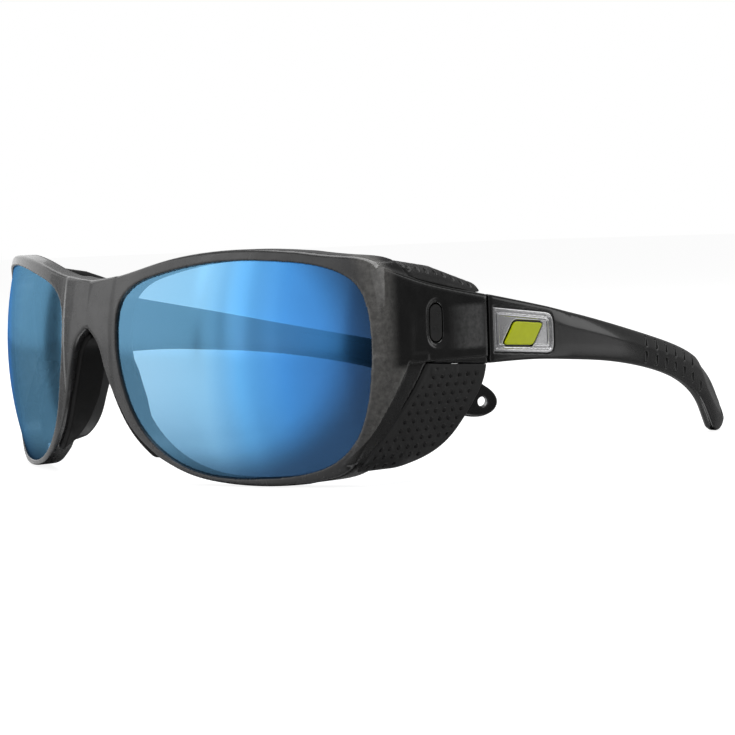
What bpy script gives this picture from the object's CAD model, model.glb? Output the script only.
import math

import bpy
import numpy as np
from mathutils import Matrix, Vector


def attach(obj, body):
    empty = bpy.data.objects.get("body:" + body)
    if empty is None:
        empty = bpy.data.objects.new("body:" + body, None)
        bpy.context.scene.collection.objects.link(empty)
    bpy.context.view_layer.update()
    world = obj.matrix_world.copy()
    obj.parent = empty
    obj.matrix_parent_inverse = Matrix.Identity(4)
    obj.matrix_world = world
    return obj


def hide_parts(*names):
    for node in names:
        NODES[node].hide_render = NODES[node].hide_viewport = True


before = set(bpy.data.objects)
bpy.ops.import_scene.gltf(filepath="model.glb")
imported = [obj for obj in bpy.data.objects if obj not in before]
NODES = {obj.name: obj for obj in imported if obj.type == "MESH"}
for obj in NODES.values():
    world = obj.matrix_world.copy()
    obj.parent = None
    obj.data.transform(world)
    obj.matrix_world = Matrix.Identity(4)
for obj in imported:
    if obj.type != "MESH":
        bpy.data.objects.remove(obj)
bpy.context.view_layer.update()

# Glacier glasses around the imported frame.  Shapes are worked out in millimetres, with X
# across (the wearer's left is positive), Y back from the front of the rims and Z up.
# build_mesh moves them forward by HALF_DEPTH and into metres.

MM = 0.001
HALF_DEPTH = 81.3


# ---------------------------------------------------------------- curves

def curve(points, closed=False, spacing=0.5):
    """Points along the smooth curve through a few drawn points."""
    drawn = np.array(points, float)
    if len(drawn) == 2:
        return drawn
    wrap = 4 if closed else 0
    if closed:
        drawn = np.vstack([drawn[-wrap:], drawn, drawn[:wrap + 1]])
    steps = np.linalg.norm(np.diff(drawn, axis=0), axis=1)
    along = np.concatenate([[0], np.cumsum(steps)])
    count = len(drawn)
    system = np.eye(count)
    right = np.zeros((count, drawn.shape[1]))
    for i in range(1, count - 1):
        system[i, i - 1:i + 2] = steps[i - 1], 2 * (steps[i - 1] + steps[i]), steps[i]
        right[i] = 6 * ((drawn[i + 1] - drawn[i]) / steps[i] - (drawn[i] - drawn[i - 1]) / steps[i - 1])
    bend = np.linalg.solve(system, right)
    made = []
    for i in range(wrap, count - 1 - wrap):
        parts = max(2, int(math.ceil(steps[i] / spacing)))
        t = (np.arange(parts) / parts)[:, None] * steps[i]
        left, ahead = drawn[i], drawn[i + 1]
        slope = (ahead - left) / steps[i] - steps[i] * (2 * bend[i] + bend[i + 1]) / 6
        turn = (bend[i + 1] - bend[i]) / (6 * steps[i])
        made.append(left + slope * t + bend[i] / 2 * t ** 2 + turn * t ** 3)
    if not closed:
        made.append(drawn[-1:])
    return np.vstack(made)


def loop(runs, spacing=0.5):
    """A closed outline from runs of drawn points; each run is smooth and they meet in corners."""
    return np.vstack([curve(run, spacing=spacing)[:-1] for run in runs])


def shifted(points, distance):
    """An open curve moved sideways to the right of its direction."""
    points = np.array(points, float)
    run = np.gradient(points, axis=0)
    run /= np.linalg.norm(run, axis=1)[:, None]
    return points + distance * np.column_stack([run[:, 1], -run[:, 0]])


def line_distance(points, u, v, closed=False):
    """Distance of each (u, v) node from a run of points."""
    points = np.asarray(points, np.float32)
    ends = np.roll(points, -1, axis=0) if closed else points[1:]
    starts = points if closed else points[:-1]
    best = np.full((len(u), len(v)), 1e6, np.float32)
    gu, gv = np.asarray(u, np.float32)[:, None], np.asarray(v, np.float32)[None, :]
    for (au, av), (bu, bv) in zip(starts, ends):
        du, dv = bu - au, bv - av
        length = du * du + dv * dv
        if length < 1e-10:
            continue
        t = np.clip(((gu - au) * du + (gv - av) * dv) / length, 0, 1)
        np.minimum(best, (gu - au - t * du) ** 2 + (gv - av - t * dv) ** 2, out=best)
    return np.sqrt(best)


def area_distance(points, u, v):
    """Signed distance of each (u, v) node from a closed outline, negative inside."""
    points = np.asarray(points, np.float32)
    gu, gv = np.asarray(u, np.float32)[:, None], np.asarray(v, np.float32)[None, :]
    inside = np.zeros((len(u), len(v)), bool)
    for (au, av), (bu, bv) in zip(points, np.roll(points, -1, axis=0)):
        if av == bv:
            continue
        crosses = (gv >= min(av, bv)) & (gv < max(av, bv))
        inside ^= crosses & (gu < au + (gv - av) * (bu - au) / (bv - av))
    return np.where(inside, -1, 1) * line_distance(points, u, v, closed=True)


# ---------------------------------------------------------------- distance fields

def both(a, b, radius=0.0):
    """What two bodies share, its edge rounded to a radius."""
    if not radius:
        return np.maximum(a, b)
    corner = np.sqrt(np.maximum(a + radius, 0) ** 2 + np.maximum(b + radius, 0) ** 2)
    return np.minimum(-radius, np.maximum(a, b)) + corner


def either(a, b, radius=0.0):
    """Two bodies as one, the inner corner between them filled to a radius."""
    if not radius:
        return np.minimum(a, b)
    corner = np.sqrt(np.maximum(radius - a, 0) ** 2 + np.maximum(radius - b, 0) ** 2)
    return np.maximum(radius, np.minimum(a, b)) - corner


def without(a, b, radius=0.0):
    return both(a, -b, radius)


def ball(x, y, z, centre):
    return np.sqrt((x - centre[0]) ** 2 + (y - centre[1]) ** 2 + (z - centre[2]) ** 2)


def slab(value, low, high):
    return np.maximum(low - value, value - high)


def block(x, y, z, low, high, radius=0.0):
    """A box with rounded edges."""
    q = [slab(value, a + radius, b - radius) for value, a, b in zip((x, y, z), low, high)]
    outside = np.sqrt(sum(np.maximum(value, 0) ** 2 for value in q))
    return outside + np.minimum(np.maximum(np.maximum(q[0], q[1]), q[2]), 0) - radius


class Grid:
    """A block of evenly spaced nodes, with their coordinates ready to broadcast."""

    def __init__(self, low, high, step):
        self.step = step
        self.axes = [np.arange(a, b + step, step, dtype=np.float32) for a, b in zip(low, high)]
        self.x = self.axes[0][:, None, None]
        self.y = self.axes[1][None, :, None]
        self.z = self.axes[2][None, None, :]

    def front(self, outline):
        """Signed distance from an outline seen from the front, as (x, z)."""
        return area_distance(outline, self.axes[0], self.axes[2])[:, None, :]

    def side(self, outline):
        """Signed distance from an outline seen from the side, as (y, z)."""
        return area_distance(outline, self.axes[1], self.axes[2])[None, :, :]

    def front_line(self, points):
        return line_distance(points, self.axes[0], self.axes[2])[:, None, :]

    def side_line(self, points):
        return line_distance(points, self.axes[1], self.axes[2])[None, :, :]


def surface_net(field, low, step):
    """Points and quads of the surface where a field crosses zero, one point in each crossed cell."""
    field = np.ascontiguousarray(field, np.float32)
    inside = field < 0
    full = [slice(0, -1), slice(1, None)]
    total = np.zeros([n - 1 for n in field.shape], np.int8)
    for a in full:
        for b in full:
            for c in full:
                total += inside[a, b, c]
    cells = np.argwhere((total > 0) & (total < 8))
    number = np.full(total.shape, -1, np.int32)
    number[tuple(cells.T)] = np.arange(len(cells))
    corners = np.array([(i, j, k) for i in (0, 1) for j in (0, 1) for k in (0, 1)])
    values = np.stack([field[tuple((cells + c).T)] for c in corners], axis=1)
    spot = np.zeros((len(cells), 3))
    crossed = np.zeros(len(cells))
    for a in range(8):
        for b in range(a + 1, 8):
            if np.abs(corners[a] - corners[b]).sum() != 1:
                continue
            change = (values[:, a] < 0) != (values[:, b] < 0)
            gap = np.where(change, values[:, a] - values[:, b], 1.0)
            t = np.where(change, values[:, a] / gap, 0.0)
            spot += np.where(change[:, None], corners[a] + t[:, None] * (corners[b] - corners[a]), 0.0)
            crossed += change
    points = (cells + spot / crossed[:, None]) * step + np.asarray(low)
    quads = []
    for axis in range(3):
        ahead = [slice(None)] * 3
        behind = [slice(None)] * 3
        ahead[axis], behind[axis] = slice(1, None), slice(0, -1)
        starts = inside[tuple(behind)]
        change = starts != inside[tuple(ahead)]
        other = [i for i in range(3) if i != axis]
        edge = np.argwhere(change)
        keep = np.all([(edge[:, i] > 0) & (edge[:, i] < field.shape[i] - 1) for i in other], axis=0)
        edge = edge[keep]
        ring = []
        for du, dv in ((0, 0), (1, 0), (1, 1), (0, 1)):
            cell = edge.copy()
            cell[:, other[0]] -= du
            cell[:, other[1]] -= dv
            ring.append(number[tuple(cell.T)])
        ring = np.stack(ring, axis=1)
        flip = starts[tuple(edge.T)] ^ (axis == 1)
        ring[~flip] = ring[~flip][:, ::-1]
        quads.append(ring)
    quads = np.vstack(quads)
    return points, quads


# ---------------------------------------------------------------- pieces

def build_mesh(name, points, faces):
    """A smooth-shaded object from points in millimetres and faces of one size."""
    points = np.asarray(points, float) - (0, HALF_DEPTH, 0)
    faces = np.asarray(faces, np.int32)
    sides = faces.shape[1]
    mesh = bpy.data.meshes.new(name)
    mesh.vertices.add(len(points))
    mesh.vertices.foreach_set("co", (points * MM).astype(np.float32).ravel())
    mesh.loops.add(faces.size)
    mesh.loops.foreach_set("vertex_index", faces.ravel())
    mesh.polygons.add(len(faces))
    mesh.polygons.foreach_set("loop_start", np.arange(0, faces.size, sides, dtype=np.int32))
    mesh.polygons.foreach_set("use_smooth", np.ones(len(faces), bool))
    mesh.update(calc_edges=True)
    mesh.validate()
    piece = bpy.data.objects.new(name, mesh)
    bpy.context.collection.objects.link(piece)
    return piece


def mirrored(points, faces):
    return points * (-1, 1, 1), faces[:, ::-1]


def finish_piece(piece, body, nodes, material):
    piece.data.materials.clear()
    piece.data.materials.append(material)
    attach(piece, body)
    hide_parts(*nodes)
    return piece


def pair(name, body, slot, material, points, faces):
    """A left piece and its mirror image, each standing for the CAD node of the same name."""
    made = []
    for side in ("left", "right"):
        shape = (points, faces) if side == "left" else mirrored(points, faces)
        piece = build_mesh(f"{name}_{side}_skin", *shape)
        finish_piece(piece, body.format(side=side), [f"{name}_{side}"], material)
        made.append(piece)
    return made


# ---------------------------------------------------------------- outlines

# The opening of the left rim, from the front.
APERTURE = [
    (10.4, 34.0), (11.5, 39.2), (14.6, 42.2), (21.5, 44.7), (31.0, 46.6), (41.0, 47.5),
    (51.5, 47.0), (59.5, 45.4), (64.4, 42.2), (66.8, 37.0), (67.7, 30.0), (67.5, 23.5),
    (66.2, 16.0), (63.4, 9.6), (58.8, 5.0), (52.0, 2.6), (43.0, 1.8), (34.5, 2.1),
    (27.0, 4.0), (20.0, 8.2), (15.0, 14.2), (12.1, 21.5), (10.7, 28.0),
]
# The outer edge of the left half of the front, from the bridge round to the bridge.
FRONT_TOP = [
    (0.0, 44.0), (8.0, 44.8), (16.0, 46.3), (25.0, 48.3), (34.5, 49.6), (44.5, 50.0), (54.0, 49.3),
]
FRONT_CORNER = [(54.0, 49.3), (61.0, 48.2), (66.0, 47.0), (68.6, 43.8), (69.5, 38.0)]
FRONT_SIDE = [
    (69.5, 38.0), (69.9, 32.0), (69.8, 26.0), (69.3, 20.5), (68.0, 15.0), (65.9, 9.3), (63.0, 4.6),
]
FRONT_LOW = [
    (63.0, 4.6), (60.0, 2.2), (55.0, 0.8), (45.0, 0.0), (36.0, 0.5), (27.5, 2.2), (20.0, 5.6),
]
NOSE_EDGE = [(20.0, 5.6), (13.2, 11.6), (9.1, 18.5), (6.2, 25.6), (4.1, 30.5), (0.0, 33.7)]
FRONT_RUNS = [FRONT_TOP, FRONT_CORNER, FRONT_SIDE, FRONT_LOW, NOSE_EDGE]
# An end piece from the side, as (y, z), and the curve of the side wall from the front.
LUG_TOP = [(24.5, 46.0), (29.0, 44.5), (37.5, 42.0), (46.0, 40.2), (55.0, 38.6)]
LUG_LOW = [(55.0, 23.8), (49.0, 24.2), (37.5, 25.0), (24.5, 26.5)]
SIDE_CURVE = [
    (69.9, 31.0), (69.8, 26.0), (69.3, 20.5), (68.0, 15.0), (65.9, 9.3), (63.0, 4.6), (61.0, 2.8),
]
# Where the side wall ends and the shield's lip begins, from the side.
LIP_LINE = [
    (37.3, 25.6), (34.6, 21.1), (32.5, 17.9), (30.0, 14.5), (27.4, 10.5), (25.5, 7.5), (24.0, 2.0),
]
NOSE_CURVE = [(19.0, 7.0), (14.0, 12.2), (10.0, 18.8), (6.6, 25.8), (5.6, 28.0)]
# How far back a nose pad reaches at each height, as (z, y).
PAD_REAR = [(4.5, 3.8), (8.0, 6.3), (12.0, 7.4), (18.0, 8.4), (24.0, 8.3), (28.0, 7.4), (32.5, 5.2)]
# The rear edge of a shield's lower wing from the side, and its upper wing: the height of the
# ridge at three distances back, and the section below the ridge from the front.
LOWER_REAR = [
    (54.6, 24.3), (53.8, 20.3), (52.0, 16.5), (49.8, 12.7), (47.6, 9.3), (44.0, 6.0), (38.0, 3.4),
    (28.0, 1.5),
]
UPPER_STATIONS = [(27.0, 47.5), (42.0, 45.2), (57.0, 40.4)]
UPPER_CURVE = [(68.9, -6.0), (68.6, -2.6), (66.6, -0.6), (63.5, 0.0), (60.5, -0.2)]
# The web that joins the two wings inside the end piece, from the side.
WEB_EDGE = [(33.2, 23.0), (46.0, 23.0), (46.0, 42.2), (42.0, 43.2), (37.0, 44.4), (33.2, 45.0)]
# The room that a folding temple's heel needs, from the side.
HEEL_ROOM = [(46.5, 23.0), (60.0, 23.0), (60.0, 39.1), (55.0, 39.1), (46.5, 40.6)]
# A temple from the side.
TEMPLE_TOP = [
    (55.3, 38.6), (71.0, 35.7), (87.0, 32.6), (104.0, 29.0), (120.0, 25.6),
    (133.0, 22.6), (142.0, 19.8), (149.5, 16.4), (155.5, 12.8), (160.0, 8.9),
]
TEMPLE_TIP = [
    (160.0, 8.9), (162.3, 6.8), (163.3, 4.4), (162.6, 2.0), (160.3, 0.4), (157.0, 0.1), (153.4, 1.2),
]
TEMPLE_LOW = [
    (153.4, 1.2), (151.2, 3.4), (147.0, 7.5), (140.0, 11.7), (132.0, 14.8),
    (121.0, 17.7), (109.0, 20.0), (96.0, 21.8), (82.0, 23.0), (70.0, 23.8), (55.3, 23.9),
]
TEMPLE_RUNS = [TEMPLE_TOP, TEMPLE_TIP, TEMPLE_LOW, [TEMPLE_LOW[-1], TEMPLE_TOP[0]]]
TEMPLE_FACET = [
    (134.0, 22.8), (141.4, 19.8), (145.6, 14.6), (148.8, 11.0), (152.1, 8.2), (157.1, 4.7), (163.0, 2.5),
]
BADGE_RUNS = [
    [(56.3, 26.2), (56.3, 35.9)], [(56.3, 35.9), (72.5, 34.1)], [(72.5, 34.1), (74.9, 33.2), (75.6, 31.0)],
    [(75.6, 31.0), (75.6, 27.3)], [(75.6, 27.3), (75.0, 25.4), (73.2, 24.9)], [(73.2, 24.9), (56.3, 26.2)],
]
BAR_CORNERS = [(59.5, 27.6), (68.5, 27.0), (72.0, 31.6), (63.0, 32.4)]
GRIP_TOP = [(110.0, 25.9), (120.0, 23.7), (133.0, 20.6), (141.0, 17.6), (147.0, 13.6)]
GRIP_LOW = [(145.0, 10.6), (140.0, 13.2), (132.0, 16.5), (121.0, 19.5), (110.0, 21.7)]

# The rims and lenses are shells of one ball.
LENS_CENTRE = (9.06, 85.5, 27.1)
RIM_FRONT, RIM_BACK = 85.5, 80.6
LENS_FRONT, LENS_BACK = 84.8, 82.8
LENS_TUCK = 1.0
SADDLE_CENTRE = (0.0, 49.3, 29.0)
SADDLE_BACK, SADDLE_FRONT, SADDLE_HALF = 45.1, 49.6, 7.8
FRONT_START, SIDE_END, TOP_END = -0.5, 69.97, 49.97
LUG_OUTER, LUG_WALL, LUG_START = 70.0, 2.0, 26.0
HINGE_X, HINGE_Y = 65.4, 51.0
EAR_RADIUS, EAR_LOW, EAR_TOP = 3.8, 28.15, 36.95
SCREW_BORE, HEAD_BORE, NUT_BORE = 0.95, 1.6, 1.95
HEAD_LEVEL, NUT_LEVEL = 37.9, 26.65
SLOT_Y, SLOT_Z, SLOT_WIDE, SLOT_HIGH = 40.25, 33.25, 3.9, 8.3
SEAT_RIM, SEAT_DEPTH = 0.75, 0.35
NOSE_INSET, WALL_THICK = 0.3, 1.4
NOSE_WALL_START, NOSE_WALL_BACK = 4.2, 5.6
# The line on the outside of a rim where the dark lip of the side shield begins.
WALL_FOOT, WALL_LEAN, WALL_TOP = 18.1, 0.555, 25.4
LIP_STEP = 0.3
PAD_PROUD, PAD_INSIDE, PAD_SETBACK = 1.3, 1.6, 1.1
SHIELD_NEAR, SHIELD_FAR, ROOF_THICK = 0.1, 1.6, 1.5
DIMPLE_RADIUS, DIMPLE_PITCH, DIMPLE_BORDER = 0.48, 2.45, 1.5
TEMPLE_START, TEMPLE_RUN, TEMPLE_BEND = 55.3, 108.7, 27.2
KNUCKLE_RADIUS, KNUCKLE_LOW, KNUCKLE_TOP, KNUCKLE_BORE = 2.4, 28.3, 36.8, 0.85
BADGE_DEPTH, GRIP_DEPTH = 0.8, 1.2
DASH_ROWS = [(0.29, 7), (0.74, 6)]
DASH_FIRST, DASH_PITCH = 112.7, 5.1
EYELET, EYELET_TURN, EYELET_RADIUS = (43.0, 160.1, 4.2), math.radians(26.0), 1.4


# ---------------------------------------------------------------- front frame

def slot_distance(grid, extra=0.0):
    """The upright oval slot of a shield clip, from the side."""
    half = SLOT_WIDE / 2
    reach = SLOT_HIGH / 2 - half
    up = np.maximum(np.abs(grid.z - SLOT_Z) - reach, 0)
    return np.sqrt((grid.y - SLOT_Y) ** 2 + up ** 2) - half - extra


def wall_strip(grid, drawn, near, far):
    """Distance from a wall that stands between a curve shifted by near and by far."""
    line = curve(drawn)
    edge = np.vstack([shifted(line, near), shifted(line, far)[::-1]])
    return grid.front(edge)


def rims_and_bridge(grid, edge, middle):
    """The two rims, which are one shell of the lens ball, with the bridge between them."""
    rim = both(both(edge, middle - RIM_FRONT, 0.8), RIM_BACK - middle, 0.6)
    centre = ball(grid.x, grid.y, grid.z, SADDLE_CENTRE)
    saddle = both(edge, slab(centre, SADDLE_BACK, SADDLE_FRONT), 0.8)
    saddle = both(saddle, np.abs(grid.x) - SADDLE_HALF)
    return both(either(rim, saddle, 2.2), both(edge, FRONT_START - grid.y), 0.5)


def end_piece(grid):
    """The flat end piece of the front, with two hinge ears on its inside."""
    x, y, z = grid.x, grid.y, grid.z
    side = grid.side(np.vstack([curve(LUG_TOP), curve(LUG_LOW)]))
    inner = LUG_OUTER - LUG_WALL
    skin = both(side, x - LUG_OUTER, 0.9)
    skin = both(skin, inner - x, 0.3)
    skin = both(skin, LUG_START - y)
    round_ear = np.sqrt((x - HINGE_X) ** 2 + (y - HINGE_Y) ** 2) - EAR_RADIUS
    root = both(slab(y, HINGE_Y - EAR_RADIUS, HINGE_Y + EAR_RADIUS), slab(x, HINGE_X, inner + 0.5))
    ears = both(np.minimum(round_ear, root), side, 0.4)
    ears = both(ears, -slab(z, EAR_LOW, EAR_TOP), 0.3)
    return either(skin, ears, 0.5)


def walls(grid, middle):
    """The wall beside a rim that the shield meets, and the one that holds a nose pad."""
    front_corner = [(20.0, 27.0), (37.3, 27.0)]
    low_corner = [(24.0, 5.0), (20.0, 5.0)]
    region = grid.side(np.array(front_corner + LIP_LINE[:-1] + low_corner))
    side = both(wall_strip(grid, SIDE_CURVE, 0, WALL_THICK), region, 0.3)
    side = both(side, middle - RIM_FRONT)
    nose = wall_strip(grid, NOSE_CURVE, NOSE_INSET, NOSE_INSET + WALL_THICK)
    nose = both(nose, slab(grid.y, NOSE_WALL_START, NOSE_WALL_BACK), 0.4)
    return side, nose


def front_shape(grid):
    x, y, z = grid.x, grid.y, grid.z
    half = loop(FRONT_RUNS)
    edge = grid.front(np.vstack([half, (half * (-1, 1))[::-1]]))
    middle = ball(x, y, z, LENS_CENTRE)
    shape = either(rims_and_bridge(grid, edge, middle), end_piece(grid), 1.2)
    for wall in walls(grid, middle):
        shape = either(shape, wall, 0.8)
    shape = both(shape, both(x - SIDE_END, z - TOP_END), 0.3)

    shape = without(shape, grid.front(curve(APERTURE, closed=True)), 0.3)
    behind_line = WALL_FOOT + WALL_LEAN * z - y
    rebate = both(both(-LIP_STEP - edge, behind_line), z - WALL_TOP)
    shape = without(shape, rebate, 0.1)
    shape = without(shape, both(slot_distance(grid), LUG_OUTER - LUG_WALL - 1 - x), 0.35)
    shape = without(shape, both(slot_distance(grid, SEAT_RIM), LUG_OUTER - SEAT_DEPTH - x), 0.15)
    axis = np.sqrt((x - HINGE_X) ** 2 + (y - HINGE_Y) ** 2)
    shape = without(shape, axis - SCREW_BORE)
    shape = without(shape, both(axis - HEAD_BORE, HEAD_LEVEL - z))
    return without(shape, both(axis - NUT_BORE, z - NUT_LEVEL))


def make_front(material):
    step = 0.3
    grid = Grid((step / 2, -2.1, -0.9), (71.4, 57.0, 51.3), step)
    field = front_shape(grid)
    field = np.concatenate([field[::-1], field])
    low = (-grid.axes[0][-1], grid.axes[1][0], grid.axes[2][0])
    piece = build_mesh("front_skin", *surface_net(field, low, step))
    finish_piece(piece, "front", ["front_frame"], material)
    return piece


# ---------------------------------------------------------------- lenses

def lens_mesh():
    """Points and faces of the left lens, and the number of its first back point."""
    edge = curve(APERTURE, closed=True, spacing=1.0)
    around = np.roll(edge, -1, axis=0) - np.roll(edge, 1, axis=0)
    around /= np.linalg.norm(around, axis=1)[:, None]
    edge = edge - LENS_TUCK * np.column_stack([around[:, 1], -around[:, 0]])
    centre = np.array((38.5, 26.0))
    rings, count = 26, len(edge)
    share = np.linspace(1, 0, rings + 1)[:-1]
    flat = np.vstack([centre + s * (edge - centre) for s in share] + [centre])
    reach = (flat[:, 0] - LENS_CENTRE[0]) ** 2 + (flat[:, 1] - LENS_CENTRE[2]) ** 2
    points, faces = [], []
    back_start = len(flat)
    for radius, start, turn in ((LENS_FRONT, 0, 1), (LENS_BACK, back_start, -1)):
        depth = LENS_CENTRE[1] - np.sqrt(radius ** 2 - reach)
        points.append(np.column_stack([flat[:, 0], depth, flat[:, 1]]))
        for ring in range(rings):
            for i in range(count):
                a = start + ring * count + i
                b = start + ring * count + (i + 1) % count
                if ring < rings - 1:
                    faces.append((a, b, b + count, a + count)[::turn])
                else:
                    faces.append((a, b, start + rings * count)[::turn])
    for i in range(count):
        j = (i + 1) % count
        faces.append((j, i, back_start + i, back_start + j))
    return np.vstack(points), faces, back_start


def make_lenses(material, inside):
    """Curved lenses that reach into the groove of the rims, with a second material behind."""
    points, faces, back_start = lens_mesh()
    for side, sign in (("left", 1), ("right", -1)):
        placed = (points * (sign, 1, 1) - (0, HALF_DEPTH, 0)) * MM
        turned = [face[::sign] for face in faces]
        mesh = bpy.data.meshes.new(f"lens_{side}_skin")
        mesh.from_pydata(placed.tolist(), [], turned)
        mesh.polygons.foreach_set("use_smooth", np.ones(len(mesh.polygons), bool))
        mesh.update()
        piece = bpy.data.objects.new(f"lens_{side}_skin", mesh)
        bpy.context.collection.objects.link(piece)
        finish_piece(piece, "front", [f"lens_{side}"], material)
        mesh.materials.append(inside)
        behind = np.array([max(face) >= back_start for face in turned], np.int32)
        mesh.polygons.foreach_set("material_index", behind)


# ---------------------------------------------------------------- nose pads

def make_nose_pads(material):
    """Soft pads along the nose edge of each rim, from just behind its front face."""
    step = 0.2
    grid = Grid((-0.6, 0.6, 3.5), (22.0, 10.5, 35.0), step)
    x, y, z = grid.x, grid.y, grid.z
    around = np.vstack([curve(NOSE_EDGE), [(30.0, 33.7), (30.0, 5.6)]])
    from_edge = -grid.front(around)
    thick = 0.3 + (PAD_PROUD - 0.3) * np.clip((y - 2.0) / 4.0, 0, 1)
    middle = ball(x, y, z, LENS_CENTRE)
    rear = np.interp(grid.axes[2], *zip(*PAD_REAR))[None, None, :]
    pad = both(both(from_edge - thick, -PAD_INSIDE - from_edge), y - rear, 0.8)
    pad = both(pad, middle - RIM_FRONT + PAD_SETBACK, 0.25)
    pad = both(pad, slab(z, 4.8, 32.4), 0.8)
    pad = both(pad, 0.9 - x, 0.3)
    wall = wall_strip(grid, NOSE_CURVE, NOSE_INSET - 0.1, NOSE_INSET + WALL_THICK + 2)
    pad = without(pad, both(wall, y - NOSE_WALL_BACK - 0.1))
    pad = without(pad, both(grid.front(loop(FRONT_RUNS)), RIM_BACK - middle))
    low = [axis[0] for axis in grid.axes]
    for piece in pair("nose_pad", "front", "pad_rubber", material, *surface_net(pad, low, step)):
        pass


# ---------------------------------------------------------------- side shields

def dimple_field(along, up, depth, row_gap, lean):
    """Distance from the nearest dimple of a slanted lattice, for nodes on a skin."""
    row = np.round(up / row_gap)
    shift = row * lean
    column = np.round((along - shift) / DIMPLE_PITCH)
    da = along - shift - column * DIMPLE_PITCH
    du = up - row * row_gap
    return np.sqrt(da ** 2 + du ** 2 + depth ** 2) - DIMPLE_RADIUS


def lower_wing(grid):
    """The wing under the end piece, dimpled, with a bead along its front lip."""
    x, y, z = grid.x, grid.y, grid.z
    line = curve(SIDE_CURVE)
    outer_edge = shifted(line, SHIELD_NEAR)
    skin = grid.front(np.vstack([outer_edge, shifted(line, SHIELD_FAR)[::-1]]))
    lip = curve([(py + 0.3, pz) for py, pz in LIP_LINE])
    region = grid.side(np.vstack([lip[:1], curve(LOWER_REAR), lip[::-1][:-1]]))
    wing = both(skin, region, 0.45)
    dots = dimple_field(y - 40.0, z - 13.0, grid.front_line(outer_edge), 1.8, 0.8)
    wing = without(wing, both(dots, region + DIMPLE_BORDER), 0.08)
    across = grid.front_line(shifted(line, 1.35))
    bead = np.sqrt(grid.side_line(lip + (0.9, 0)) ** 2 + across ** 2) - 0.95
    bead = both(bead, z - 25.2)
    return both(either(wing, bead, 0.4), x - 69.95)


def upper_wing(grid, middle):
    """The dimpled roof over the end piece: one section that sinks towards the rear."""
    x, y, z = grid.x, grid.y, grid.z
    ridge = np.interp(grid.axes[1], *zip(*UPPER_STATIONS))
    drop = grid.axes[2][None, :] - ridge[:, None]
    arc = curve(UPPER_CURVE, spacing=0.4)
    lowest, highest = -12, 6
    levels = np.arange(lowest, highest, grid.step / 2, dtype=np.float32)
    from_arc = line_distance(arc, grid.axes[0], levels)
    under = np.vstack([arc, [(55.0, -0.6), (55.0, -8.0), (68.9, -8.0)]])
    inside = area_distance(under, grid.axes[0], levels) < 0
    signed = np.where(inside, -from_arc, from_arc)
    level = np.clip(((drop - lowest) / (grid.step / 2)).astype(int), 0, len(levels) - 1)
    over = signed[:, level]
    ends = both(slab(y, 26.0, 54.4), 60.6 - x)
    wing = both(slab(over, -ROOF_THICK, 0.0), ends, 0.5)
    wing = both(wing, 39.1 - z, 0.4)
    wing = both(wing, middle - RIM_BACK + 0.3, 0.3)
    dots = dimple_field(y - 40.0, 69.5 - x, np.abs(over), 1.75, -0.8)
    border = np.maximum(slab(y, 27.6, 53.0), 62.0 - x)
    return without(wing, both(dots, border), 0.1)


def shield_shape(grid):
    x, y, z = grid.x, grid.y, grid.z
    middle = ball(x, y, z, LENS_CENTRE)
    web = both(grid.side(np.array(WEB_EDGE)), slab(x, 66.0, 67.6), 0.3)
    shelf = block(x, y, z, (66.0, 38.3, 22.2), (69.4, 46.0, 24.4), 0.4)
    web = both(either(web, shelf, 0.4), middle - RIM_BACK + 0.3)
    shield = either(np.minimum(lower_wing(grid), upper_wing(grid, middle)), web, 0.4)
    clear = [shifted(curve(run), -0.05) for run in (LUG_TOP, LUG_LOW)]
    shield = without(shield, both(grid.side(np.vstack(clear)), 67.75 - x), 0.2)
    shield = without(shield, both(grid.side(np.array(HEEL_ROOM)), x - 68.0), 0.2)
    window = block(x, y, z, (60.0, 36.6, 28.4), (70.0, 43.6, 38.2))
    return without(shield, window, 0.1)


def make_shields(material):
    step = 0.15
    grid = Grid((55.5, 22.5, 0.0), (70.8, 56.5, 49.5), step)
    field = shield_shape(grid)
    low = [axis[0] for axis in grid.axes]
    pair("side_shield", "shield_{side}", "shield_rubber", material, *surface_net(field, low, step))


# ---------------------------------------------------------------- temples

def temple_faces(y):
    """The outer and inner face of a temple at a distance back, and the tilt of the outer one."""
    t = (y - TEMPLE_START) / TEMPLE_RUN
    outer = LUG_OUTER - TEMPLE_BEND * t ** 2
    slope = -2 * TEMPLE_BEND * t / TEMPLE_RUN
    thick = 4.8 * (1 - t) ** 2 + 4.0 * t * (1 - t) + 4.2 * t ** 2
    return outer, outer - thick, np.sqrt(1 + slope ** 2)


def dash_field(grid, wide, high):
    """Distance from the upright dashes of a temple, from the side."""
    low_line, top_line = sorted(TEMPLE_LOW), sorted(TEMPLE_TOP)
    field = np.full((1, len(grid.axes[1]), len(grid.axes[2])), 99.0, np.float32)
    for share, count in DASH_ROWS:
        for index in range(count):
            back = DASH_FIRST + index * DASH_PITCH
            low = np.interp(back, *zip(*low_line))
            top = np.interp(back, *zip(*top_line))
            middle = low + share * (top - low)
            near = np.maximum(np.abs(grid.y - back) - wide / 2 + 0.2, 0) ** 2
            near = near + np.maximum(np.abs(grid.z - middle) - high / 2 + 0.2, 0) ** 2
            field = np.minimum(field, np.sqrt(near) - 0.2)
    return field


def hinge_knuckle(x, y, z, axis):
    neck = both(np.abs(x - HINGE_X) - 2.2, slab(y, HINGE_Y, 56.5))
    return both(np.minimum(axis - KNUCKLE_RADIUS, neck), slab(z, KNUCKLE_LOW, KNUCKLE_TOP), 0.25)


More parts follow.
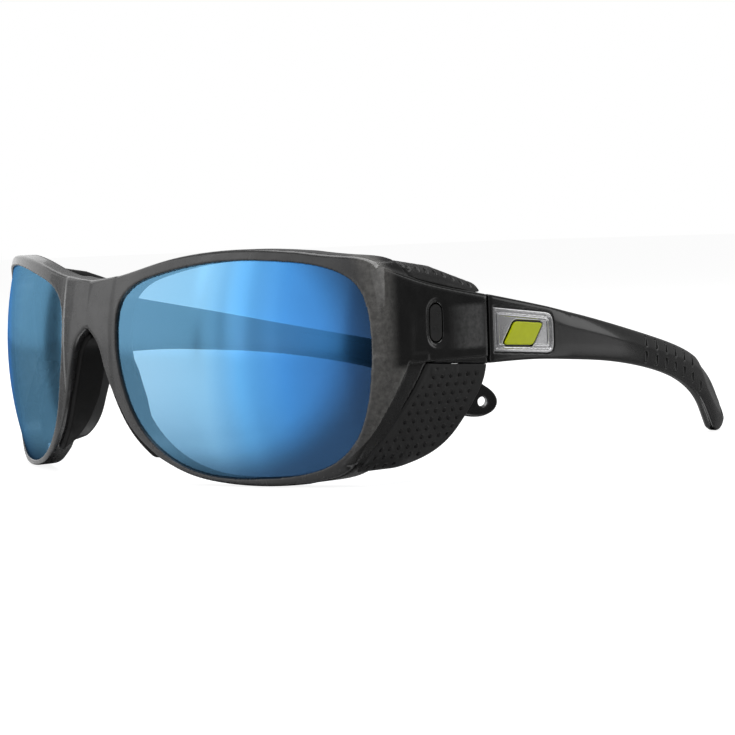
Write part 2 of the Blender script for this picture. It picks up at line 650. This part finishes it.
def eyelet_distance(x, y, z):
    """The slanting cord hole through a temple's tip."""
    way = (math.cos(EYELET_TURN), math.sin(EYELET_TURN))
    dx, dy, dz = (value - at for value, at in zip((x, y, z), EYELET))
    run = dx * way[0] + dy * way[1]
    away = np.sqrt((dx - run * way[0]) ** 2 + (dy - run * way[1]) ** 2 + dz ** 2)
    return away - EYELET_RADIUS


def temple_shape(grid):
    x, y, z = grid.x, grid.y, grid.z
    outer, inner, tilt = temple_faces(y)
    side = grid.side(loop(TEMPLE_RUNS))
    crown = 0.8 * np.clip((3.6 + side) / 3.6, 0, 1) ** 2
    behind_badge = np.clip((y - 74) / 8, 0, 1)
    outside = (x - outer) / tilt + crown * behind_badge
    corners = [(170.0, 2.5), (170.0, 40.0), (134.0, 40.0)]
    facet_area = grid.side(np.vstack([curve(TEMPLE_FACET), corners]))
    facet = outside + np.clip(-facet_area, 0, 3) * 0.33
    outside = np.where(facet_area < 0, facet, outside)
    arm = both(side, outside, 0.7)
    arm = both(arm, (inner - x) / tilt, 0.9)

    axis = np.sqrt((x - HINGE_X) ** 2 + (y - HINGE_Y) ** 2)
    arm = either(arm, hinge_knuckle(x, y, z, axis), 0.4)
    arm = without(arm, axis - KNUCKLE_BORE)
    badge = grid.side(loop(BADGE_RUNS))
    arm = without(arm, both(badge, (outer - BADGE_DEPTH - x) / tilt), 0.15)
    grip = grid.side(np.vstack([curve(GRIP_TOP), curve(GRIP_LOW)]))
    arm = without(arm, both(grip, (x - inner - GRIP_DEPTH) / tilt), 0.15)
    arm = without(arm, both(dash_field(grid, 0.9, 2.4), inner - 1 - x), 0.1)
    return without(arm, eyelet_distance(x, y, z), 0.35)


def grip_shape(grid):
    """The soft liner on the inside, with dashes that come through to the outside."""
    outer, inner, tilt = temple_faces(grid.y)
    side = grid.side(np.vstack([curve(GRIP_TOP), curve(GRIP_LOW)]))
    liner = both(side + 0.03, (inner - grid.x) / tilt, 0.3)
    liner = both(liner, (grid.x - inner - GRIP_DEPTH + 0.05) / tilt)
    nubs = both(dash_field(grid, 0.8, 2.3), (grid.x - outer + 0.3) / tilt, 0.2)
    nubs = both(nubs, inner + 0.6 - grid.x)
    return np.minimum(liner, nubs)


def make_temples(plastic, rubber):
    step = 0.25
    grid = Grid((36.0, 47.5, -0.75), (71.0, 165.0, 40.0), step)
    low = [axis[0] for axis in grid.axes]
    net = surface_net(temple_shape(grid), low, step)
    pair("temple_arm", "temple_{side}", "temple_plastic", plastic, *net)

    step = 0.15
    grid = Grid((44.0, 108.5, 9.0), (66.0, 148.5, 27.5), step)
    low = [axis[0] for axis in grid.axes]
    net = surface_net(grip_shape(grid), low, step)
    pair("temple_grip", "temple_{side}", "grip_rubber", rubber, *net)


def slanted_bar():
    """The corners of the coloured bar, rounded a little."""
    runs = []
    count = len(BAR_CORNERS)
    for i in range(count):
        before, corner, after = (np.array(BAR_CORNERS[(i + turn) % count]) for turn in (-1, 0, 1))
        start = corner + 0.9 * (before - corner) / np.linalg.norm(before - corner)
        end = corner + 0.9 * (after - corner) / np.linalg.norm(after - corner)
        turn = np.linspace(0, 1, 7)[:, None]
        runs.append((1 - turn) ** 2 * start + 2 * turn * (1 - turn) * corner + turn ** 2 * end)
    return np.vstack(runs)


def make_badges(chrome, colour):
    step = 0.1
    grid = Grid((67.5, 55.8, 24.4), (70.4, 76.2, 36.5), step)
    low = [axis[0] for axis in grid.axes]
    outer, inner, tilt = temple_faces(grid.y)
    depth = outer - 0.04 - grid.x
    side = grid.side(loop(BADGE_RUNS)) + 0.06
    plate = both(side, slab(-depth, -0.7, 0.0), 0.25)
    plate = without(plate, both(np.abs(side + 1.0) - 0.25, depth - 0.45), 0.15)
    plate = without(plate, both(side + 1.75, depth - 0.35), 0.15)
    bar_side = grid.side(slanted_bar())
    plate = without(plate, bar_side - 0.4, 0.15)
    net = surface_net(plate, low, step)
    pair("badge_plate", "temple_{side}", "badge_chrome", chrome, *net)
    bar = both(bar_side, slab(depth, 0.04, 0.56), 0.15)
    net = surface_net(bar, low, step)
    pair("badge_inlay", "temple_{side}", "badge_colour", colour, *net)


# ---------------------------------------------------------------- materials

def new_material(name, **values):
    """A Principled material, with its node tree and shader."""
    material = bpy.data.materials.new(name)
    material.use_nodes = True
    tree = material.node_tree
    shader = tree.nodes["Principled BSDF"]
    for label, value in values.items():
        shader.inputs[label.replace("_", " ")].default_value = value
    return material, tree, shader


def bare_material(name):
    """A material with only its output node."""
    material = bpy.data.materials.new(name)
    material.use_nodes = True
    tree = material.node_tree
    tree.nodes.clear()
    return material, tree, tree.nodes.new("ShaderNodeOutputMaterial")


def node(tree, kind, **settings):
    made = tree.nodes.new(kind)
    for label, value in settings.items():
        if hasattr(made, label):
            setattr(made, label, value)
        else:
            made.inputs[label.replace("_", " ")].default_value = value
    return made


def place(tree):
    """Object coordinates, in metres."""
    return tree.nodes.new("ShaderNodeTexCoord").outputs["Object"]


def coordinate(tree, axis):
    """One coordinate of the row frame. Across, it is the distance from the middle."""
    split = tree.nodes.new("ShaderNodeSeparateXYZ")
    tree.links.new(place(tree), split.inputs[0])
    if axis:
        return split.outputs[axis]
    return maths(tree, "ABSOLUTE", split.outputs[0])


def maths(tree, operation, *values):
    made = node(tree, "ShaderNodeMath", operation=operation)
    for socket, value in zip(made.inputs, values):
        if isinstance(value, float):
            socket.default_value = value
        else:
            tree.links.new(value, socket)
    return made.outputs[0]


def ranged(tree, source, start, end, low=0.0, high=1.0, **settings):
    """A value mapped from start..end to low..high."""
    made = node(tree, "ShaderNodeMapRange", **settings)
    tree.links.new(source, made.inputs["Value"])
    made.inputs["From Min"].default_value = start
    made.inputs["From Max"].default_value = end
    made.inputs["To Min"].default_value = low
    made.inputs["To Max"].default_value = high
    return made.outputs["Result"]


def noise(tree, scale, detail=3.0, roughness=0.5):
    made = node(tree, "ShaderNodeTexNoise", Scale=scale, Detail=detail, Roughness=roughness)
    tree.links.new(place(tree), made.inputs["Vector"])
    return made.outputs["Fac"]


def ramp(tree, source, stops):
    """A colour ramp from (position, colour) stops."""
    made = tree.nodes.new("ShaderNodeValToRGB")
    tree.links.new(source, made.inputs["Fac"])
    elements = made.color_ramp.elements
    while len(elements) < len(stops):
        elements.new(0.5)
    for element, (position, colour) in zip(elements, stops):
        element.position = position
        element.color = (*colour, 1.0)
    return made.outputs["Color"]


def clouded(tree, source, dark, light, start=0.3):
    """A colour between a dark and a light one, over the usual range of a noise."""
    return ramp(tree, source, [(start, dark), (0.7, light)])


def spread(tree, source, low, high):
    """A noise value mapped from its usual range to a given one."""
    return ranged(tree, source, 0.3, 0.7, low, high)


def bump(tree, shader, strength, distance):
    """A fine moulded skin."""
    made = node(tree, "ShaderNodeBump", Strength=strength, Distance=distance)
    tree.links.new(noise(tree, 2600, 2.0), made.inputs["Height"])
    tree.links.new(made.outputs["Normal"], shader.inputs["Normal"])


def band(tree, axis, start, end):
    """0 before start and 1 after end along one axis of the row frame, in metres."""
    return ranged(tree, coordinate(tree, axis), start, end, interpolation_type="SMOOTHSTEP")


def leaning_band(tree, start, lean):
    """1 behind a plane that leans back with height."""
    lifted = maths(tree, "MULTIPLY", coordinate(tree, 2), -lean)
    back = maths(tree, "ADD", coordinate(tree, 1), lifted)
    soft = 0.0001
    return ranged(tree, back, start - soft, start + soft, interpolation_type="SMOOTHSTEP")


def times(tree, *values):
    total = values[0]
    for value in values[1:]:
        total = maths(tree, "MULTIPLY", total, value)
    return total


def blended(tree, factor, first, second):
    """A mix of two colours."""
    made = node(tree, "ShaderNodeMix", data_type="RGBA")
    tree.links.new(factor, made.inputs[0])
    for socket, value in zip((made.inputs[6], made.inputs[7]), (first, second)):
        if isinstance(value, tuple):
            socket.default_value = (*value, 1.0)
        else:
            tree.links.new(value, socket)
    return made.outputs[2]


def at_y(back):
    return (back - HALF_DEPTH) * MM


def plastic(name, dark, light, rough, grain, **values):
    """Moulded plastic or rubber: a faint cloudiness, a fine skin and a little uneven gloss."""
    material, tree, shader = new_material(name, **values)
    tree.links.new(clouded(tree, noise(tree, 180, 4.0), dark, light), shader.inputs["Base Color"])
    tree.links.new(spread(tree, noise(tree, 420, 2.0), *rough), shader.inputs["Roughness"])
    bump(tree, shader, grain, 0.00004)
    return material


def smooth(name, scale, detail, dark, light, rough, **values):
    """Metal or enamel: one fine cloud drives both its colour and its gloss."""
    material, tree, shader = new_material(name, **values)
    cloud = noise(tree, scale, detail)
    tree.links.new(clouded(tree, cloud, dark, light), shader.inputs["Base Color"])
    tree.links.new(spread(tree, cloud, *rough), shader.inputs["Roughness"])
    return material


def front_material():
    """Smoke plastic: satin on the face, dark and glossy on the end pieces, cloudy on the side wall."""
    material, tree, shader = new_material("smoke_plastic", Coat_Weight=0.3, Coat_Roughness=0.05)
    cloud = noise(tree, 260, 4.0)
    fine = noise(tree, 900, 4.0, 0.65)
    face = clouded(tree, cloud, (0.032, 0.032, 0.033), (0.052, 0.052, 0.053))
    wall = clouded(tree, fine, (0.085, 0.083, 0.079), (0.17, 0.166, 0.158), start=0.35)
    dark = clouded(tree, cloud, (0.003, 0.003, 0.003), (0.007, 0.007, 0.007))
    light = clouded(tree, fine, (0.06, 0.06, 0.06), (0.13, 0.13, 0.13))

    outside = band(tree, 0, 0.0605, 0.0615)
    side = times(tree, outside, band(tree, 1, at_y(22.0), at_y(24.5)))
    lip = times(tree, leaning_band(tree, at_y(WALL_FOOT), WALL_LEAN), outside, band(tree, 2, 0.0256, 0.0254))
    lug = times(tree, band(tree, 1, at_y(26.0), at_y(30.0)), band(tree, 2, 0.0235, 0.0255))
    level = times(tree, band(tree, 2, 0.0270, 0.0280), band(tree, 2, 0.0372, 0.0360))
    length = times(tree, band(tree, 1, at_y(42.5), at_y(50.0)), band(tree, 1, at_y(55.0), at_y(52.5)))
    colour = blended(tree, side, face, wall)
    colour = blended(tree, lip, colour, dark)
    colour = blended(tree, lug, colour, dark)
    colour = blended(tree, times(tree, length, level), colour, light)
    tree.links.new(colour, shader.inputs["Base Color"])

    gloss = noise(tree, 420, 2.0)
    mixed = node(tree, "ShaderNodeMix", data_type="FLOAT")
    tree.links.new(lug, mixed.inputs[0])
    tree.links.new(spread(tree, gloss, 0.22, 0.30), mixed.inputs[2])
    tree.links.new(spread(tree, gloss, 0.10, 0.16), mixed.inputs[3])
    tree.links.new(mixed.outputs[0], shader.inputs["Roughness"])
    bump(tree, shader, 0.05, 0.00002)
    return material


def rim_shadow(tree):
    """0 over most of a lens, rising to 0.85 at its outer and lower rim."""
    across = ranged(tree, coordinate(tree, 0), 0.036, 0.068, clamp=False)
    beyond = maths(tree, "MAXIMUM", across, 0.0)
    up = ranged(tree, coordinate(tree, 2), 0.030, 0.059, clamp=False)
    joined = tree.nodes.new("ShaderNodeCombineXYZ")
    tree.links.new(beyond, joined.inputs[0])
    tree.links.new(up, joined.inputs[2])
    reach = node(tree, "ShaderNodeVectorMath", operation="LENGTH")
    tree.links.new(joined.outputs[0], reach.inputs[0])
    return ranged(tree, reach.outputs["Value"], 0.72, 1.02, 0.0, 0.85, interpolation_type="SMOOTHSTEP")


def lens_material(name, share):
    """A clear body under a mirror coat. Share is the part of the light that the coat sends back."""
    material, tree, out = bare_material(name)
    mix = node(tree, "ShaderNodeMixShader")
    mix.inputs["Fac"].default_value = share
    clear = node(tree, "ShaderNodeBsdfTransparent")
    mirror = node(tree, "ShaderNodeBsdfGlossy")
    tree.links.new(spread(tree, noise(tree, 60, 2.0), 0.13, 0.16), mirror.inputs["Roughness"])
    tree.links.new(clear.outputs[0], mix.inputs[1])
    tree.links.new(mirror.outputs[0], mix.inputs[2])
    tree.links.new(mix.outputs[0], out.inputs["Surface"])
    return material, tree, clear.inputs["Color"], mirror.inputs["Color"]


def blue_mirror():
    """The front of a lens: light blue beside the nose, deep blue outside, dark at the rim."""
    material, tree, clear, mirror = lens_material("lens_mirror", 0.5)
    shades = [
        (0.0, (0.44, 0.72, 0.94)), (0.4, (0.34, 0.66, 0.94)), (0.62, (0.12, 0.44, 0.86)),
        (0.85, (0.05, 0.27, 0.72)), (1.0, (0.04, 0.13, 0.36)),
    ]
    tint = ramp(tree, band(tree, 0, 0.012, 0.066), shades)
    tint = blended(tree, band(tree, 2, -0.006, 0.026), (0.03, 0.10, 0.20), tint)
    shadow = rim_shadow(tree)
    tree.links.new(blended(tree, shadow, tint, (0.03, 0.06, 0.12)), clear)
    haze = noise(tree, 40, 3.0)
    near = clouded(tree, haze, (0.17, 0.43, 0.67), (0.20, 0.47, 0.72))
    far = clouded(tree, haze, (0.07, 0.34, 0.80), (0.10, 0.38, 0.88))
    back = blended(tree, band(tree, 0, 0.030, 0.062), near, far)
    tree.links.new(blended(tree, shadow, back, (0.02, 0.05, 0.10)), mirror)
    return material


def lens_back():
    """The uncoated back of a lens."""
    material, tree, clear, mirror = lens_material("lens_back", 0.06)
    clear.default_value = (1, 1, 1, 1)
    haze = noise(tree, 40, 3.0)
    tree.links.new(clouded(tree, haze, (0.85, 0.86, 0.9), (0.95, 0.95, 0.97)), mirror)
    return material


def make_materials():
    return {
        "front": front_material(),
        "temple": plastic(
            "temple_plastic", (0.004, 0.004, 0.004), (0.008, 0.008, 0.008), (0.16, 0.20), 0.015,
            Coat_Weight=0.35, Coat_Roughness=0.04),
        "clip": plastic("clip_plastic", (0.012, 0.012, 0.012), (0.02, 0.02, 0.02), (0.25, 0.35), 0.05),
        "shield": plastic(
            "shield_rubber", (0.012, 0.012, 0.012), (0.020, 0.020, 0.020), (0.38, 0.50), 0.2),
        "pad": plastic(
            "pad_rubber", (0.003, 0.003, 0.003), (0.006, 0.006, 0.006), (0.5, 0.6), 0.2,
            Specular_IOR_Level=0.2),
        "grip": plastic("grip_rubber", (0.05, 0.05, 0.05), (0.08, 0.08, 0.08), (0.4, 0.5), 0.1),
        "steel": smooth(
            "hinge_steel", 900, 3.0, (0.42, 0.42, 0.43), (0.6, 0.6, 0.61), (0.22, 0.38), Metallic=1.0),
        "chrome": smooth(
            "badge_chrome", 120, 2.0, (0.70, 0.70, 0.71), (0.76, 0.76, 0.77), (0.09, 0.14), Metallic=1.0),
        "colour": smooth(
            "badge_colour", 500, 3.0, (0.80, 0.90, 0.0), (0.86, 0.96, 0.006), (0.3, 0.4), Coat_Weight=0.3),
        "lens": blue_mirror(),
        "lens_inside": lens_back(),
    }


# ---------------------------------------------------------------- camera, floor and light

def make_camera():
    """The viewing angle: from the front left, a little above."""
    right = Vector((0.65715, 0.75299, -0.03400))
    up = Vector((-0.02222, 0.06444, 0.99767))
    ahead = Vector((-0.75343, 0.65487, -0.05908))
    data = bpy.data.cameras.new("view")
    data.sensor_width = 36.0
    data.lens = 112.67
    data.clip_start, data.clip_end = 0.01, 50.0
    camera = bpy.data.objects.new("view", data)
    bpy.context.collection.objects.link(camera)
    turned = Matrix((right, up, -ahead)).transposed().to_4x4()
    camera.matrix_world = Matrix.Translation((0.42085, -0.36582, 0.05272)) @ turned
    bpy.context.scene.camera = camera


def area_light(name, centre, target, size, power):
    data = bpy.data.lights.new(name, "AREA")
    data.shape = "RECTANGLE"
    data.size, data.size_y = size
    data.energy = power
    lamp = bpy.data.objects.new(name, data)
    bpy.context.collection.objects.link(lamp)
    way = Vector(target) - Vector(centre)
    facing = way.to_track_quat("-Z", "Y").to_matrix().to_4x4()
    lamp.matrix_world = Matrix.Translation(centre) @ facing
    lamp.visible_camera = False


def panel(name, azimuth, height, distance, size, radiance):
    """A soft panel that faces the glasses. Azimuth 0 is straight ahead of them and 90 on +X."""
    turn = math.radians(azimuth)
    centre = (distance * math.sin(turn), -distance * math.cos(turn), height)
    area_light(name, centre, (0, 0, 0.03), size, radiance * math.pi * size[0] * size[1])


def seen_directly(tree):
    """1 for what the camera sees, also through a lens, and 0 for reflections and bounced light."""
    path = tree.nodes.new("ShaderNodeLightPath")
    return maths(tree, "MAXIMUM", path.outputs["Is Camera Ray"], path.outputs["Is Transmission Ray"])


def make_world():
    """White where it is seen and dim where it lights, so the panels shape the reflections."""
    world = bpy.data.worlds.new("studio")
    bpy.context.scene.world = world
    world.use_nodes = True
    tree = world.node_tree
    back = tree.nodes["Background"]
    back.inputs["Color"].default_value = (1, 1, 1, 1)
    level = ranged(tree, seen_directly(tree), 0.0, 1.0, 0.22, 1.0)
    tree.links.new(level, back.inputs["Strength"])


def floor_material():
    """Pale and even where it is seen, with a faint contact shadow, and a soft sheen in reflections."""
    material, tree, out = bare_material("pale_floor")
    sheen = node(tree, "ShaderNodeBsdfGlossy", Roughness=0.25)
    shade = clouded(tree, noise(tree, 3, 2.0), (0.60, 0.60, 0.60), (0.62, 0.62, 0.62))
    tree.links.new(shade, sheen.inputs["Color"])
    pale = node(tree, "ShaderNodeEmission", Strength=0.88)
    faint = node(tree, "ShaderNodeBsdfDiffuse")
    faint.inputs["Color"].default_value = (0.4, 0.4, 0.4, 1)
    glow = tree.nodes.new("ShaderNodeAddShader")
    tree.links.new(pale.outputs[0], glow.inputs[0])
    tree.links.new(faint.outputs[0], glow.inputs[1])
    mix = node(tree, "ShaderNodeMixShader")
    tree.links.new(seen_directly(tree), mix.inputs["Fac"])
    tree.links.new(sheen.outputs[0], mix.inputs[1])
    tree.links.new(glow.outputs[0], mix.inputs[2])
    tree.links.new(mix.outputs[0], out.inputs["Surface"])
    return material


def make_floor():
    reach = 6.0
    corners = [(-reach, -reach, 0), (reach, -reach, 0), (reach, reach, 0), (-reach, reach, 0)]
    mesh = bpy.data.meshes.new("floor")
    mesh.from_pydata(corners, [], [(0, 1, 2, 3)])
    mesh.materials.append(floor_material())
    floor = bpy.data.objects.new("floor", mesh)
    bpy.context.collection.objects.link(floor)


# Each panel as name, azimuth, height, distance, size and radiance. The narrow ones make the
# streaks in the lenses, far_side lights the right lens and rear the outside of the left temple.
PANELS = [
    ("broad", -36, 0.30, 0.85, (0.66, 0.7), 1.1),
    ("dim", 8, 0.30, 0.85, (0.80, 0.66), 0.75),
    ("streak_one", -11, 0.30, 0.80, (0.08, 0.66), 0.5),
    ("streak_two", -2, 0.30, 0.80, (0.10, 0.66), 0.75),
    ("streak_three", 9, 0.30, 0.80, (0.06, 0.66), 0.25),
    ("far_side", -92, 0.30, 0.85, (0.90, 0.7), 0.9),
    ("rear", 146, 0.18, 0.9, (0.42, 0.30), 1.05),
]


def make_studio():
    bpy.context.scene.view_settings.view_transform = "Standard"
    make_world()
    make_floor()
    area_light("overhead", (0.05, 0.05, 0.75), (0, 0, 0), (0.7, 0.7), 5.0)
    for row in PANELS:
        panel(*row)


# ---------------------------------------------------------------- all of it

MATERIALS = make_materials()
make_camera()
make_studio()
make_front(MATERIALS["front"])
make_lenses(MATERIALS["lens"], MATERIALS["lens_inside"])
make_nose_pads(MATERIALS["pad"])
make_shields(MATERIALS["shield"])
make_temples(MATERIALS["temple"], MATERIALS["grip"])
make_badges(MATERIALS["chrome"], MATERIALS["colour"])

for stem, material in (("hinge_screw", "steel"), ("hinge_nut", "steel"), ("shield_clip", "clip")):
    for side in ("left", "right"):
        carried = NODES[f"{stem}_{side}"]
        for slot in carried.material_slots:
            slot.material = MATERIALS[material]
        if not carried.material_slots:
            carried.data.materials.append(MATERIALS[material])
